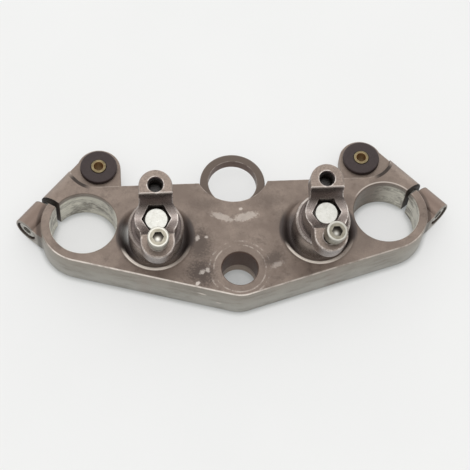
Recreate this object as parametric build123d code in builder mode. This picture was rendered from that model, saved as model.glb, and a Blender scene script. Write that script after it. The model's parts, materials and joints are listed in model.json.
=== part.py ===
import os
from math import asin, atan2, cos, hypot, radians, sin, sqrt, tan

from build123d import *

# Motorcycle triple clamp: the top yoke with its handlebar risers, gauge grommets and fasteners.
# Sizes in mm. Z is up along the steering stem, +Y points to the front of the motorcycle and +X to
# the rider's right. The origin is on the stem bore's axis at the yoke's underside.

# plate
plate_thickness = 26.0
stem_bore_diameter = 23.3
stem_boss_radius = 19.4
front_inset = 1.2
edge_round = 1.3
bore_chamfer = 0.6
chamfer_slope = 45.0

# fork clamps
fork_spacing = 197.6
fork_offset = 36.7
fork_tube_diameter = 43.0
clamp_wall = 6.0

# pinch bosses and slots, measured from the fork axis along and across the pinch bolt
pinch_angle = 48.0
pinch_reach = 29.6
pinch_height = 13.0
pinch_boss_radius = 9.0
pinch_boss_length = 23.3
pinch_web_rise = 7.0
pinch_thread_depth = 18.0
boss_end_chamfer = 0.6
slot_width = 3.6
slot_skew = 7.0
head_sink = 1.0
arm_reach = 35.9
arm_round = 11.0

# gauge ears
gauge_spacing = 176.2
gauge_reach = 19.5
ear_radius = 14.5
ear_bottom = 7.0
ear_thickness = 9.0
ear_edge_round = 1.2

# ignition lock ring
lock_reach = 3.6
lock_bore_diameter = 32.4
lock_wall = 5.4
lock_bottom = 12.0
lock_thickness = 7.0
lock_relief = 2.0
lock_gap = 3.2
lock_edge_round = 1.0

# riser seats, leaning back to the rider
dish_wall = 3.5
riser_lean = 13.0
seat_setback = 10.3
seat_height = 20.7
dish_radius = 21.0
dish_run = 5.6
dish_clear_height = 20.0
dish_lip_round = 5.0
seat_web = 7.5
nut_recess_radius = 11.5

# risers
pillar_radius = 17.5
pillar_height = 32.5
shoulder_round = 3.0
neck_radius = 13.4
riser_height = 61.0
riser_head_depth = 14.5
clamp_ear_reach = 17.4
clamp_ear_radius = 10.4
clamp_hole_reach = 18.4
clamp_hole_depth = 12.0
clamp_mouth_radius = 5.0
clamp_mouth_depth = 4.5
bar_diameter = 25.4
bar_lift = 0.8
saddle_overlap = 20.0
waist_round = 6.0
riser_edge_round = 0.8
bolt_head_level = 47.5

# fasteners
m10_diameter = 10.0
m10_head_flats = 14.0
m10_head_height = 7.0
m10_nut_height = 8.0
m10_end_stand = 2.0
m10_washer_radius = 10.0
m10_washer_thickness = 2.0
hex_chamfer = 0.9
pocket_clearance = 1.0
m8_diameter = 8.0
m8_head_radius = 6.5
m8_head_height = 8.0
m8_socket_flats = 6.0
m8_socket_depth = 4.2
m8_head_round = 0.8
m8_end_chamfer = 1.0
pinch_bolt_length = 30.0
counterbore_clearance = 0.9
left_screw_length = 18.0
left_screw_lift = 7.0
right_screw_length = 12.0
right_screw_lift = 4.7
right_screw_lean = 6.0
right_screw_pivot = 6.0
fit_clearance = 0.3

# grommets
grommet_flange_radius = 12.2
grommet_flange_thickness = 3.0
grommet_neck_radius = 8.7
grommet_edge_round = 1.0
sleeve_radius = 5.0
sleeve_bore_radius = 3.15
sleeve_stand = 0.5
sleeve_edge_round = 0.5

# lightening pockets in the underside, either side of a middle rib
pocket_near = 23.0
pocket_far = 42.0
pocket_half_width = 25.0
pocket_rib = 6.0
pocket_depth = 14.0
pocket_corner = 4.0

# derived places
fork_radius = fork_tube_diameter / 2
ring_radius = fork_radius + clamp_wall
front_edge = fork_offset + ring_radius - front_inset
gauge_offset = front_edge + gauge_reach
lock_offset = front_edge + lock_reach
seat_offset = fork_offset - seat_setback
lock_radius = lock_bore_diameter / 2
relief_radius = lock_radius + lock_wall + lock_gap
stem_radius = stem_bore_diameter / 2
bar_radius = bar_diameter / 2
ear_top = ear_bottom + ear_thickness
dish_cove = dish_radius - pillar_radius - fit_clearance
m8_hole_radius = m8_diameter / 2 + fit_clearance
m10_hole_radius = m10_diameter / 2 + fit_clearance
pinch_bore_radius = m8_head_radius + counterbore_clearance
slot_start = fork_radius - clamp_wall
slot_end = arm_reach + arm_round
slot_lead = tan(radians(slot_skew))
slot_run = slot_lead * (slot_end - slot_start)
fork_x = fork_spacing / 2
gauge_x = gauge_spacing / 2
riser_x = fork_x - fork_radius - dish_wall - dish_radius
flank_angle = atan2(fork_offset, fork_x) - asin((ring_radius - stem_boss_radius) / hypot(fork_x, fork_offset))

along_x = cos(radians(180 - pinch_angle))
along_y = sin(radians(pinch_angle))
across_x = sin(radians(pinch_angle))
across_y = cos(radians(pinch_angle))
lean_up = Vector(0, -sin(radians(riser_lean)), cos(radians(riser_lean)))
lean_side = Vector(0, -cos(radians(riser_lean)), -sin(radians(riser_lean)))


def by_fork(across, along):
    # a point beside the right fork bore, measured across and along the pinch bolt
    return (fork_x + across * across_x + along * along_x, fork_offset + across * across_y + along * along_y)


def seat_plane(side):
    # the riser's seat: X across the motorcycle, Z up the leaning riser
    return Plane(origin=(side * riser_x, seat_offset, seat_height), x_dir=(1, 0, 0), z_dir=lean_up)


def seat_section(side):
    # the upright section through the riser's axis: X across, Y up the leaning riser
    return Plane(origin=(side * riser_x, seat_offset, seat_height), x_dir=(1, 0, 0), z_dir=lean_side)


def pinch_plane(side, along):
    # across the pinch bolt at a distance along it, looking inwards from the boss's open end
    x, y = by_fork(pinch_reach, along)
    return Plane(origin=(side * x, y, pinch_height), x_dir=(0, 0, 1), z_dir=(side * along_x, along_y, 0))


sides = (-1, 1)
fork_axes = [(side * fork_x, fork_offset) for side in sides]
gauge_axes = [(side * gauge_x, gauge_offset) for side in sides]
seats = [seat_plane(side) for side in sides]

# the space cut for both riser seats, leaning with the risers so that the dish runs out shallow to the front
with BuildPart() as dish_cutter:
    with BuildSketch(seat_plane(1)):
        with Locations((0, dish_run / 2)):
            SlotCenterToCenter(dish_run, 2 * dish_radius, rotation=90)
    extrude(amount=dish_clear_height)
    fillet(dish_cutter.faces().sort_by(Axis((0, 0, 0), lean_up))[0].edges(), radius=dish_cove)
    mirror(about=Plane.YZ)

# the slots that split the fork clamps, a little skewed to the pinch bolts
with BuildSketch() as slots:
    with BuildLine():
        Polyline(
            by_fork(slot_start, -slot_width / 2),
            by_fork(slot_end, -slot_width / 2 - slot_run),
            by_fork(slot_end, slot_width / 2 - slot_run),
            by_fork(slot_start, slot_width / 2),
            close=True,
        )
    make_face()
    mirror(about=Plane.YZ)

with BuildPart() as clamp_body:
    # full-height plate: flanks tangent to the stem boss and the fork rings, with a straight front edge
    with BuildSketch():
        with BuildLine():
            nose = (stem_boss_radius * sin(flank_angle), -stem_boss_radius * cos(flank_angle))
            flank_x = fork_x + ring_radius * sin(flank_angle)
            flank_end = (flank_x, fork_offset - ring_radius * cos(flank_angle))
            ring_end = (fork_x + sqrt(ring_radius**2 - (front_edge - fork_offset) ** 2), front_edge)
            Line(nose, flank_end)
            ThreePointArc(flank_end, (fork_x + ring_radius, fork_offset), ring_end)
            Line(ring_end, (0, front_edge))
            mirror(about=Plane.YZ)
            ThreePointArc((-nose[0], nose[1]), (0, -stem_boss_radius), nose)
        make_face()
        # arms behind the slots that carry the pinch threads and the gauge ears
        with BuildLine():
            Polyline(
                (fork_x, fork_offset),
                by_fork(slot_start, 0),
                by_fork(arm_reach, -slot_lead * (arm_reach - slot_start)),
                by_fork(arm_reach, gauge_offset - fork_offset),
                (gauge_x, gauge_offset),
                (gauge_x, fork_offset),
                close=True,
            )
        make_face()
        mirror(about=Plane.YZ)
        with Locations(*gauge_axes):
            Circle(gauge_reach, mode=Mode.SUBTRACT)
        add(slots.sketch, mode=Mode.SUBTRACT)
    extrude(amount=plate_thickness)
    outline = clamp_body.faces().filter_by(Axis.Z).edges()
    fillet(outline.filter_by(lambda edge: edge.center().Y < fork_offset), radius=edge_round)
    arm_middle = by_fork(arm_reach, ear_radius)
    for side in sides:
        for level in (0, plate_thickness):
            corner = Vector(side * arm_middle[0], arm_middle[1], level)
            fillet(clamp_body.edges().sort_by_distance(corner)[0], radius=arm_round)

    # pinch bosses on the outer side of the slots
    with BuildSketch(*[pinch_plane(side, -pinch_boss_length) for side in sides]):
        Circle(pinch_boss_radius)
    extrude(amount=pinch_boss_length - slot_lead * (pinch_reach - slot_start) - slot_width / 4)
    for side in sides:
        boss_end = clamp_body.faces().sort_by_distance(pinch_plane(side, -pinch_boss_length).origin)[0]
        chamfer(boss_end.edges(), length=boss_end_chamfer)
    with BuildSketch(Plane.XY.offset(pinch_height - pinch_boss_radius)):
        with BuildLine():
            Polyline(
                by_fork(0, 0),
                by_fork(0, -fork_radius),
                by_fork(ring_radius - pinch_boss_radius, -pinch_boss_length),
                by_fork(pinch_reach, -pinch_boss_length),
                by_fork(pinch_reach, 0),
                close=True,
            )
        make_face()
        mirror(about=Plane.YZ)
    extrude(amount=pinch_boss_radius + pinch_web_rise)

    # gauge ears
    with BuildSketch(Plane.XY.offset(ear_bottom)):
        with Locations(*gauge_axes):
            Circle(ear_radius)
            Rectangle(2 * ear_radius, gauge_reach + clamp_wall, align=(Align.CENTER, Align.MAX))
        with BuildLine():
            Polyline(
                (gauge_x, gauge_offset),
                by_fork(arm_reach - arm_round, 0),
                by_fork(arm_reach, slot_width),
                by_fork(arm_reach, gauge_offset - fork_offset),
                close=True,
            )
        make_face()
        mirror(about=Plane.YZ)
    extrude(amount=ear_thickness)
    for side in sides:
        ear_tip = Vector(side * gauge_x, gauge_offset + ear_radius, ear_top)
        fillet(clamp_body.edges().sort_by_distance(ear_tip)[0], radius=ear_edge_round)

    # lock ring, with the plate cut back round it
    with BuildSketch():
        with Locations((0, lock_offset - lock_radius - lock_relief + relief_radius)):
            Circle(relief_radius)
    extrude(amount=plate_thickness, mode=Mode.SUBTRACT)
    with BuildSketch(Plane.XY.offset(lock_bottom)):
        with Locations((0, lock_offset)):
            Circle(lock_radius + lock_wall)
    extrude(amount=lock_thickness)
    ring_tip = Vector(0, lock_offset + lock_radius + lock_wall, lock_bottom + lock_thickness)
    fillet(clamp_body.edges().sort_by_distance(ring_tip)[0], radius=lock_edge_round)

    # slots through the bosses too
    with BuildSketch():
        add(slots.sketch)
    extrude(amount=plate_thickness, mode=Mode.SUBTRACT)

    # dished riser seats with a rounded lip
    add(dish_cutter.part, mode=Mode.SUBTRACT)
    for side in sides:
        plate_top = clamp_body.faces().filter_by(Axis.Z).sort_by(Axis.Z)[-1]
        seat_mouth = Vector(side * riser_x, seat_offset, plate_thickness)
        fillet(plate_top.inner_wires().sort_by_distance(seat_mouth)[0].edges(), radius=dish_lip_round)

    # bores with chamfered mouths
    with BuildSketch():
        Circle(stem_radius)
        with Locations(*fork_axes):
            Circle(fork_radius)
        with Locations((0, lock_offset)):
            Circle(lock_radius)
        with Locations(*gauge_axes):
            Circle(grommet_neck_radius + fit_clearance)
    extrude(amount=plate_thickness, mode=Mode.SUBTRACT)
    with BuildSketch(Plane.XY.offset(plate_thickness)):
        Circle(stem_radius + bore_chamfer)
        with Locations(*fork_axes):
            Circle(fork_radius + bore_chamfer)
    extrude(amount=-bore_chamfer, taper=chamfer_slope, mode=Mode.SUBTRACT)
    with BuildSketch():
        with Locations(*fork_axes):
            Circle(fork_radius + bore_chamfer)
    extrude(amount=bore_chamfer, taper=chamfer_slope, mode=Mode.SUBTRACT)

    # pinch bolt holes: counterbore, clearance and thread
    with BuildSketch(*[pinch_plane(side, -pinch_boss_length) for side in sides]):
        Circle(pinch_bore_radius)
    extrude(amount=m8_head_height + head_sink, mode=Mode.SUBTRACT)
    with BuildSketch(*[pinch_plane(side, -pinch_boss_length) for side in sides]):
        Circle(m8_hole_radius)
    extrude(amount=pinch_boss_length + pinch_thread_depth, mode=Mode.SUBTRACT)

    # riser bolt holes and the nut recesses under them
    with BuildSketch(*seats):
        Circle(m10_hole_radius)
    extrude(amount=-plate_thickness, mode=Mode.SUBTRACT)
    with BuildSketch(*[seat.offset(-seat_web) for seat in seats]):
        Circle(nut_recess_radius)
    extrude(amount=-plate_thickness, mode=Mode.SUBTRACT)

    # lightening pockets
    with BuildSketch():
        with BuildLine():
            Polyline(
                (pocket_rib / 2, pocket_near),
                (pocket_half_width - pocket_rib, pocket_near),
                (pocket_half_width, pocket_far),
                (pocket_rib / 2, pocket_far),
                close=True,
            )
        make_face()
        mirror(about=Plane.YZ)
        fillet(vertices(), radius=pocket_corner)
    extrude(amount=pocket_depth, mode=Mode.SUBTRACT)

clamp_body.part.label = "clamp_body"

seat = seat_plane(1)
riser_axis = Axis(seat.origin, lean_up)
riser_side = Plane(origin=seat.origin, x_dir=-lean_side, z_dir=(1, 0, 0))
head_bottom = riser_height - riser_head_depth
pocket_floor = bolt_head_level - m10_head_height
nut_top = -seat_web - m10_washer_thickness
nut_bottom = nut_top - m10_nut_height

with BuildPart() as right_riser:
    # round pillar with a rounded shoulder
    with BuildSketch(seat):
        Circle(pillar_radius)
    extrude(amount=pillar_height)
    fillet(right_riser.edges().sort_by(riser_axis)[-1], radius=shoulder_round)
    # neck, and the clamp head with an ear to the front and one to the rear
    with BuildSketch(seat):
        Circle(neck_radius)
    extrude(amount=riser_height)
    with BuildSketch(seat.offset(head_bottom)):
        SlotCenterToCenter(2 * clamp_ear_reach, 2 * clamp_ear_radius, rotation=90)
        Circle(neck_radius)
        fillet(vertices().sort_by_distance(Vector(0, 0, 0))[:4], radius=waist_round)
    extrude(amount=riser_head_depth)
    # handlebar saddle
    with BuildSketch(riser_side):
        with Locations((0, riser_height + bar_lift)):
            Circle(bar_radius)
    extrude(amount=saddle_overlap, both=True, mode=Mode.SUBTRACT)
    for ear_face in right_riser.faces().filter_by(GeomType.PLANE).sort_by(riser_axis)[-2:]:
        fillet(ear_face.edges(), radius=riser_edge_round)
    # hexagon pocket and bolt hole
    with BuildSketch(seat.offset(pocket_floor)):
        RegularPolygon(m10_head_flats / 2 + pocket_clearance, 6, major_radius=False)
    extrude(amount=riser_height, mode=Mode.SUBTRACT)
    with BuildSketch(seat):
        Circle(m10_hole_radius)
    extrude(amount=riser_height, mode=Mode.SUBTRACT)
    # blind threaded holes for the bar clamp screws, with an open mouth
    with BuildSketch(seat.offset(riser_height)):
        with Locations((0, clamp_hole_reach), (0, -clamp_hole_reach)):
            Circle(m8_hole_radius)
    extrude(amount=-clamp_hole_depth, mode=Mode.SUBTRACT)
    with BuildSketch(seat.offset(riser_height)):
        with Locations((0, clamp_hole_reach), (0, -clamp_hole_reach)):
            Circle(clamp_mouth_radius)
    extrude(amount=-clamp_mouth_depth, mode=Mode.SUBTRACT)

right_riser.part.label = "right_riser"

hex_corner = m10_head_flats / 2 + hex_chamfer
hex_disc = m10_head_flats / 2 - fit_clearance

with BuildPart() as right_riser_bolt:
    with BuildSketch(seat.offset(pocket_floor)):
        RegularPolygon(m10_head_flats / 2, 6, major_radius=False)
    extrude(amount=m10_head_height)
    with BuildSketch(seat_section(1)):
        with BuildLine():
            Polyline(
                (hex_disc, bolt_head_level),
                (hex_corner + hex_chamfer, bolt_head_level),
                (hex_corner + hex_chamfer, bolt_head_level - hex_chamfer),
                close=True,
            )
        make_face()
    revolve(axis=riser_axis, mode=Mode.SUBTRACT)
    with BuildSketch(seat.offset(pocket_floor)):
        Circle(m10_diameter / 2)
    extrude(amount=nut_bottom - m10_end_stand - pocket_floor)
    chamfer(right_riser_bolt.edges().sort_by(riser_axis)[0], length=m8_end_chamfer)

right_riser_bolt.part.label = "right_riser_bolt"

with BuildPart() as right_riser_washer:
    with BuildSketch(seat.offset(-seat_web)):
        Circle(m10_washer_radius)
        Circle(m10_hole_radius, mode=Mode.SUBTRACT)
    extrude(amount=-m10_washer_thickness)

right_riser_washer.part.label = "right_riser_washer"

with BuildPart() as right_riser_nut:
    with BuildSketch(seat.offset(nut_top)):
        RegularPolygon(m10_head_flats / 2, 6, major_radius=False)
        Circle(m10_hole_radius, mode=Mode.SUBTRACT)
    extrude(amount=-m10_nut_height)
    with BuildSketch(seat_section(1)):
        with BuildLine():
            Polyline(
                (hex_disc, nut_bottom),
                (hex_corner + hex_chamfer, nut_bottom),
                (hex_corner + hex_chamfer, nut_bottom + hex_chamfer),
                close=True,
            )
        make_face()
    revolve(axis=riser_axis, mode=Mode.SUBTRACT)

right_riser_nut.part.label = "right_riser_nut"

# bar clamp screws left in the rear ears: the left one straight, the right one barely started and leaning
left_screw_plane = Plane(seat_plane(-1) * Location((0, -clamp_hole_reach, riser_height + left_screw_lift)))
right_pivot_height = riser_height - right_screw_pivot
right_screw_place = Location((0, -clamp_hole_reach, right_pivot_height), (0, right_screw_lean, 0))
right_screw_plane = Plane(seat * right_screw_place).offset(right_screw_pivot + right_screw_lift)

left_screw_axis = Axis(left_screw_plane.origin, lean_up)

with BuildPart() as left_clamp_screw:
    with BuildSketch(left_screw_plane):
        Circle(m8_head_radius)
    extrude(amount=m8_head_height)
    fillet(left_clamp_screw.edges().sort_by(left_screw_axis)[-1], radius=m8_head_round)
    with BuildSketch(left_screw_plane.offset(m8_head_height)):
        RegularPolygon(m8_socket_flats / 2, 6, major_radius=False)
    extrude(amount=-m8_socket_depth, mode=Mode.SUBTRACT)
    with BuildSketch(left_screw_plane):
        Circle(m8_diameter / 2)
    extrude(amount=-left_screw_length)
    chamfer(left_clamp_screw.edges().sort_by(left_screw_axis)[0], length=m8_end_chamfer)

left_clamp_screw.part.label = "left_clamp_screw"

right_screw_axis = Axis(right_screw_plane.origin, right_screw_plane.z_dir)

with BuildPart() as right_clamp_screw:
    with BuildSketch(right_screw_plane):
        Circle(m8_head_radius)
    extrude(amount=m8_head_height)
    fillet(right_clamp_screw.edges().sort_by(right_screw_axis)[-1], radius=m8_head_round)
    with BuildSketch(right_screw_plane.offset(m8_head_height)):
        RegularPolygon(m8_socket_flats / 2, 6, major_radius=False)
    extrude(amount=-m8_socket_depth, mode=Mode.SUBTRACT)
    with BuildSketch(right_screw_plane):
        Circle(m8_diameter / 2)
    extrude(amount=-right_screw_length)
    chamfer(right_clamp_screw.edges().sort_by(right_screw_axis)[0], length=m8_end_chamfer)

right_clamp_screw.part.label = "right_clamp_screw"

bolt_face = pinch_plane(1, head_sink - pinch_boss_length)
bolt_axis = Axis(bolt_face.origin, bolt_face.z_dir)

with BuildPart() as right_pinch_bolt:
    with BuildSketch(bolt_face):
        Circle(m8_head_radius)
    extrude(amount=m8_head_height)
    fillet(right_pinch_bolt.edges().sort_by(bolt_axis)[0], radius=m8_head_round)
    with BuildSketch(bolt_face):
        RegularPolygon(m8_socket_flats / 2, 6, major_radius=False)
    extrude(amount=m8_socket_depth, mode=Mode.SUBTRACT)
    with BuildSketch(bolt_face.offset(m8_head_height)):
        Circle(m8_diameter / 2)
    extrude(amount=pinch_bolt_length)
    chamfer(right_pinch_bolt.edges().sort_by(bolt_axis)[-1], length=m8_end_chamfer)

right_pinch_bolt.part.label = "right_pinch_bolt"

gauge_axis = Axis((gauge_x, gauge_offset, 0), (0, 0, 1))
gauge_section = Plane(origin=gauge_axis.position, x_dir=(1, 0, 0), z_dir=(0, -1, 0))
grommet_top = ear_top + grommet_flange_thickness
grommet_bottom = ear_bottom - grommet_flange_thickness

with BuildPart() as right_grommet:
    with BuildSketch(gauge_section):
        with BuildLine():
            Polyline(
                (sleeve_radius + fit_clearance, grommet_bottom),
                (grommet_flange_radius, grommet_bottom),
                (grommet_flange_radius, ear_bottom),
                (grommet_neck_radius, ear_bottom),
                (grommet_neck_radius, ear_top),
                (grommet_flange_radius, ear_top),
                (grommet_flange_radius, grommet_top),
                (sleeve_radius + fit_clearance, grommet_top),
                close=True,
            )
        make_face()
    revolve(axis=gauge_axis)
    flange_edges = right_grommet.edges().filter_by(GeomType.CIRCLE).sort_by(SortBy.RADIUS)[-4:]
    fillet(flange_edges, radius=grommet_edge_round)

right_grommet.part.label = "right_grommet"

with BuildPart() as right_sleeve:
    with BuildSketch(Plane.XY.offset(grommet_bottom - sleeve_stand)):
        with Locations((gauge_x, gauge_offset)):
            Circle(sleeve_radius)
            Circle(sleeve_bore_radius, mode=Mode.SUBTRACT)
    extrude(amount=grommet_top - grommet_bottom + 2 * sleeve_stand)
    fillet(right_sleeve.edges().filter_by(GeomType.CIRCLE), radius=sleeve_edge_round)

right_sleeve.part.label = "right_sleeve"

# the left side's equal pieces
with BuildPart() as left_riser:
    mirror(right_riser.part, about=Plane.YZ)

left_riser.part.label = "left_riser"

with BuildPart() as left_riser_bolt:
    mirror(right_riser_bolt.part, about=Plane.YZ)

left_riser_bolt.part.label = "left_riser_bolt"

with BuildPart() as left_riser_washer:
    mirror(right_riser_washer.part, about=Plane.YZ)

left_riser_washer.part.label = "left_riser_washer"

with BuildPart() as left_riser_nut:
    mirror(right_riser_nut.part, about=Plane.YZ)

left_riser_nut.part.label = "left_riser_nut"

with BuildPart() as left_pinch_bolt:
    mirror(right_pinch_bolt.part, about=Plane.YZ)

left_pinch_bolt.part.label = "left_pinch_bolt"

with BuildPart() as left_grommet:
    mirror(right_grommet.part, about=Plane.YZ)

left_grommet.part.label = "left_grommet"

with BuildPart() as left_sleeve:
    mirror(right_sleeve.part, about=Plane.YZ)

left_sleeve.part.label = "left_sleeve"

os.makedirs("parts", exist_ok=True)
export_step(clamp_body.part, "parts/clamp_body.step")
export_step(left_riser.part, "parts/left_riser.step")
export_step(right_riser.part, "parts/right_riser.step")
export_step(left_riser_bolt.part, "parts/left_riser_bolt.step")
export_step(right_riser_bolt.part, "parts/right_riser_bolt.step")
export_step(left_riser_washer.part, "parts/left_riser_washer.step")
export_step(right_riser_washer.part, "parts/right_riser_washer.step")
export_step(left_riser_nut.part, "parts/left_riser_nut.step")
export_step(right_riser_nut.part, "parts/right_riser_nut.step")
export_step(left_clamp_screw.part, "parts/left_clamp_screw.step")
export_step(right_clamp_screw.part, "parts/right_clamp_screw.step")
export_step(left_pinch_bolt.part, "parts/left_pinch_bolt.step")
export_step(right_pinch_bolt.part, "parts/right_pinch_bolt.step")
export_step(left_grommet.part, "parts/left_grommet.step")
export_step(right_grommet.part, "parts/right_grommet.step")
export_step(left_sleeve.part, "parts/left_sleeve.step")
export_step(right_sleeve.part, "parts/right_sleeve.step")
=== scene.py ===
import json
from math import asin, atan2, cos, hypot, pi, radians, sin, tan
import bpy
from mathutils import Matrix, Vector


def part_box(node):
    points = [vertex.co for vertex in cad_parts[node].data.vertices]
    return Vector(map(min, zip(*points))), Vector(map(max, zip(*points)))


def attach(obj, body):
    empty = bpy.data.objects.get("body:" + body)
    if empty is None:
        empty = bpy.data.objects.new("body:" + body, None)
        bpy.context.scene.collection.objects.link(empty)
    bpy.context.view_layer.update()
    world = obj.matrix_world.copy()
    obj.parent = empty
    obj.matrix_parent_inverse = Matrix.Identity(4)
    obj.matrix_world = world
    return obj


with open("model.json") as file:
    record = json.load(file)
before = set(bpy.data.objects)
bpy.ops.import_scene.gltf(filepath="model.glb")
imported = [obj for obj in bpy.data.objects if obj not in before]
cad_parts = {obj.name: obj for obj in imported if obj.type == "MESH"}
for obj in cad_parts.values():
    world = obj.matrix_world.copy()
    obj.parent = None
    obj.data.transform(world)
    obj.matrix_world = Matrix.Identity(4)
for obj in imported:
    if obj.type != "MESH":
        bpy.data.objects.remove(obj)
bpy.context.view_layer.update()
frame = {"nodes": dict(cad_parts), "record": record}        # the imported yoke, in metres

from types import SimpleNamespace

import bpy
import numpy as np
from mathutils import Matrix, Vector

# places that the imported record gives, in millimetres
perMetre = 1000.0
mounts = {mount["name"]: mount for mount in frame["record"]["mounts"]}


def mountPlace(name):
    return perMetre * Vector(mounts[name]["pos_m"])


def mountSize(name, size="r_mm"):
    return mounts[name]["dims"][size]


forkX, forkY = mountPlace("right_fork_clamp")[:2]
forkRadius = mountSize("right_fork_clamp")
stemRadius = mountSize("stem_bore")
lockRadius = mountSize("lock_bore")
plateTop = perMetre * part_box("clamp_body")[1].z
noseRadius = -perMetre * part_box("clamp_body")[0].y
riserX = mountPlace("right_bar_hole").x
riserUp = Vector(mounts["right_bar_hole"]["axis"])
riserFront = Vector((0, riserUp.z, -riserUp.y))
seatY, seatZ = 26.4, 20.7                          # middle of a riser's foot
earLevel, barHoleOut = 61.0, 18.4                  # a riser's ears up its axis, and their holes out from it
rightScrew = {"lean": 6.0, "pivotDepth": 6.0}      # degrees outwards, about a point below the ear's top
print("frame loaded:", len(frame["nodes"]), "nodes")


# node helpers

def plug(tree, value, socket):
    # a socket is joined, anything else becomes the socket's own value
    if isinstance(value, bpy.types.NodeSocket):
        tree.links.new(value, socket)
    else:
        socket.default_value = value


def addNode(tree, kind, inputs=None, **settings):
    made = tree.nodes.new(kind)
    for name, value in settings.items():
        setattr(made, name, value)
    for name, value in (inputs or {}).items():
        plug(tree, value, made.inputs[name])
    return made


def calc(tree, operation, *values):
    return addNode(tree, "ShaderNodeMath", dict(enumerate(values)), operation=operation).outputs[0]


def times(tree, first, *others):
    for other in others:
        first = calc(tree, "MULTIPLY", first, other)
    return first


def most(tree, first, *others):
    for other in others:
        first = calc(tree, "MAXIMUM", first, other)
    return first


def less(tree, value, taken):
    return calc(tree, "SUBTRACT", value, taken)


def fade(tree, value, start, end, low=0.0, high=1.0):
    # smooth step from low at start to high at end
    inputs = {"Value": value, "From Min": start, "From Max": end, "To Min": low, "To Max": high}
    return addNode(tree, "ShaderNodeMapRange", inputs, interpolation_type="SMOOTHSTEP").outputs["Result"]


def band(tree, value, middle, half, soft):
    # one inside middle plus or minus half, falling to nothing over soft
    return fade(tree, calc(tree, "ABSOLUTE", less(tree, value, middle)), half + soft, half)


def mixColor(tree, factor, first, second):
    return addNode(tree, "ShaderNodeMix", {0: factor, 6: first, 7: second}, data_type="RGBA").outputs[2]


def mixValue(tree, factor, first, second):
    return addNode(tree, "ShaderNodeMix", {0: factor, 2: first, 3: second}, data_type="FLOAT").outputs[0]


def noise(tree, vector, scale, detail=3.0, rough=0.55):
    inputs = {"Vector": vector, "Scale": scale, "Detail": detail, "Roughness": rough}
    return addNode(tree, "ShaderNodeTexNoise", inputs).outputs["Fac"]


def split(tree, vector):
    return addNode(tree, "ShaderNodeSeparateXYZ", {0: vector}).outputs[:]


def join(tree, x, y, z):
    return addNode(tree, "ShaderNodeCombineXYZ", {0: x, 1: y, 2: z}).outputs[0]


def vectorCalc(tree, operation, first, second):
    return addNode(tree, "ShaderNodeVectorMath", {0: first, 1: second}, operation=operation).outputs[0]


def away(tree, first, second):
    # length of the step whose two parts are given
    return calc(tree, "SQRT", calc(tree, "MULTIPLY_ADD", first, first, times(tree, second, second)))


def newGroup(name, inputs, outputs):
    tree = bpy.data.node_groups.new(name, "ShaderNodeTree")
    for label, kind in inputs.items():
        tree.interface.new_socket(label, in_out="INPUT", socket_type="NodeSocket" + kind)
    for label in outputs:
        tree.interface.new_socket(label, in_out="OUTPUT", socket_type="NodeSocketFloat")
    return tree, tree.nodes.new("NodeGroupInput").outputs, tree.nodes.new("NodeGroupOutput").inputs


def useGroup(tree, group, inputs):
    return addNode(tree, "ShaderNodeGroup", inputs, node_tree=group).outputs


def newMaterial(name):
    # a principled shader, and the place on the object in millimetres
    material = bpy.data.materials.new(name)
    material.use_nodes = True
    tree = material.node_tree
    tree.nodes.clear()
    shader = tree.nodes.new("ShaderNodeBsdfPrincipled")
    plug(tree, shader.outputs[0], tree.nodes.new("ShaderNodeOutputMaterial").inputs["Surface"])
    inMetres = tree.nodes.new("ShaderNodeTexCoord").outputs["Object"]
    place = addNode(tree, "ShaderNodeVectorMath", {0: inMetres, "Scale": perMetre}, operation="SCALE")
    return material, tree, shader.inputs, place.outputs[0]


def riserPlace(tree, place):
    # a place as a riser sees it: out from its middle, to the front and up its leaning axis
    x, y, z = split(tree, place)
    fromSeatY, fromSeatZ = less(tree, y, seatY), less(tree, z, seatZ)
    forward = calc(tree, "MULTIPLY_ADD", fromSeatZ, riserFront.z, times(tree, fromSeatY, riserFront.y))
    level = calc(tree, "MULTIPLY_ADD", fromSeatZ, riserUp.z, times(tree, fromSeatY, riserUp.y))
    return less(tree, calc(tree, "ABSOLUTE", x), riserX), forward, level


# In the dictionaries of the finishes, lengths are in millimetres and the reach of rays is in metres.
# A fade is where an effect starts and where it is full, then its low and high share.
# A ring or band is middle, half width and soft edge, and a noise is scale, detail and roughness.
# A mark is x, y, half length, half width, turn in radians, ragged, soft and strength.

# shared effects: masks and heights that vary over the surface

effects = {
    "raySamples": 12, "bumpDepth": 0.0002,
    "wearEdge": (0.98, 0.55), "wearDetail": (4.0, 0.65), "wearBroken": (0.38, 0.62),
    "grimeShut": (0.6, 0.15), "grimeNoise": (0.22, 3.0), "grimeThick": (0.2, 0.6, 0.55, 1.0),
    "blotchNoise": (0.06, 5.0, 0.65), "blotchFade": (0.3, 0.7), "blotchHeight": 0.6,
    "speckDetail": (2.0, 0.6), "speckFade": (0.25, 0.75),
    "markNoise": (0.7, 6.0, 0.75), "markMiddle": 0.5,
}


def addBump(tree, shader, height, strength):
    inputs = {"Height": height, "Strength": strength, "Distance": effects["bumpDepth"]}
    plug(tree, addNode(tree, "ShaderNodeBump", inputs).outputs[0], shader["Normal"])


def openness(tree, reach, inside=False):
    # share of the rays from a point that meet nothing within reach
    rays = addNode(tree, "ShaderNodeAmbientOcclusion", {"Distance": reach}, inside=inside,
                   samples=effects["raySamples"])
    return rays.outputs["AO"]


def makeEdgeWear(look):
    # rays sent inwards meet the next face only beside an outer edge; noise breaks the line up
    inputs = {"Place": "Vector", "Reach": "Float", "Breakup": "Float"}
    tree, given, made = newGroup("edgeWear", inputs, ["Wear"])
    edge = fade(tree, openness(tree, given["Reach"], inside=True), *look["wearEdge"])
    patchy = noise(tree, given["Place"], given["Breakup"], *look["wearDetail"])
    plug(tree, times(tree, edge, fade(tree, patchy, *look["wearBroken"])), made["Wear"])
    return tree


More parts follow.
